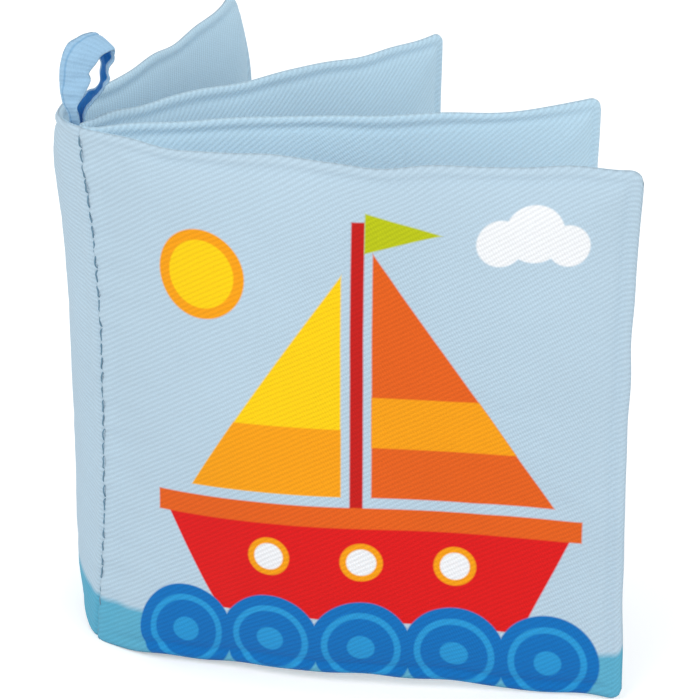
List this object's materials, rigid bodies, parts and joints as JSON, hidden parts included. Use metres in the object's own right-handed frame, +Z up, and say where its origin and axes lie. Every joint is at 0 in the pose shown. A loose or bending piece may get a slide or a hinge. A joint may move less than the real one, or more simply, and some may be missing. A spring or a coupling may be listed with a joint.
{
  "type": "crinkle book",
  "caption": "Soft cloth baby book with padded crinkling leaves stitched along the spine, two covers that turn, and a hanging loop of tape.",
  "frame": {"origin": "foot of the spine's stitch row, halfway through the thickness of the cover's outer cloth, where it stands on the floor", "axes": "+Z up the spine; the front cover lies along +X and faces -Y; the back cover lies along +Y"},
  "size_m": [0.1286, 0.1289, 0.1392],
  "materials": {
    "cover_cloth": "printed cotton twill",
    "page_cloth": "printed cotton twill",
    "wadding": "white polyester wadding",
    "crinkle_film": "thin creased film",
    "tape": "folded and stitched cotton tape",
    "thread": "sewing thread"
  },
  "bodies": {
    "spine": {"spine_outer_panel": "cover_cloth", "spine_inner_panel": "page_cloth", "page_outer_panel": "page_cloth", "page_inner_panel": "page_cloth", "second_leaf_wadding": "wadding", "second_leaf_film": "crinkle_film", "third_leaf_wadding": "wadding", "third_leaf_film": "crinkle_film", "hanging_loop": "tape", "front_stitches": "thread", "back_stitches": "thread"},
    "front_cover": {"front_cover_outer_panel": "cover_cloth", "front_cover_inner_panel": "page_cloth", "front_cover_wadding": "wadding", "front_cover_film": "crinkle_film"},
    "back_cover": {"back_cover_outer_panel": "cover_cloth", "back_cover_inner_panel": "page_cloth", "back_cover_wadding": "wadding", "back_cover_film": "crinkle_film"}
  },
  "joints": [
    {"name": "front_cover_hinge", "type": "hinge", "parent": "spine", "child": "front_cover", "pos_m": [0.00149, -0.00128, 0], "axis": [0, 0, 1], "range_deg": [-100, 12]},
    {"name": "back_cover_hinge", "type": "hinge", "parent": "spine", "child": "back_cover", "pos_m": [-0.00174, 0.0009, 0], "axis": [0, 0, 1], "range_deg": [-16, 95]}
  ]
}
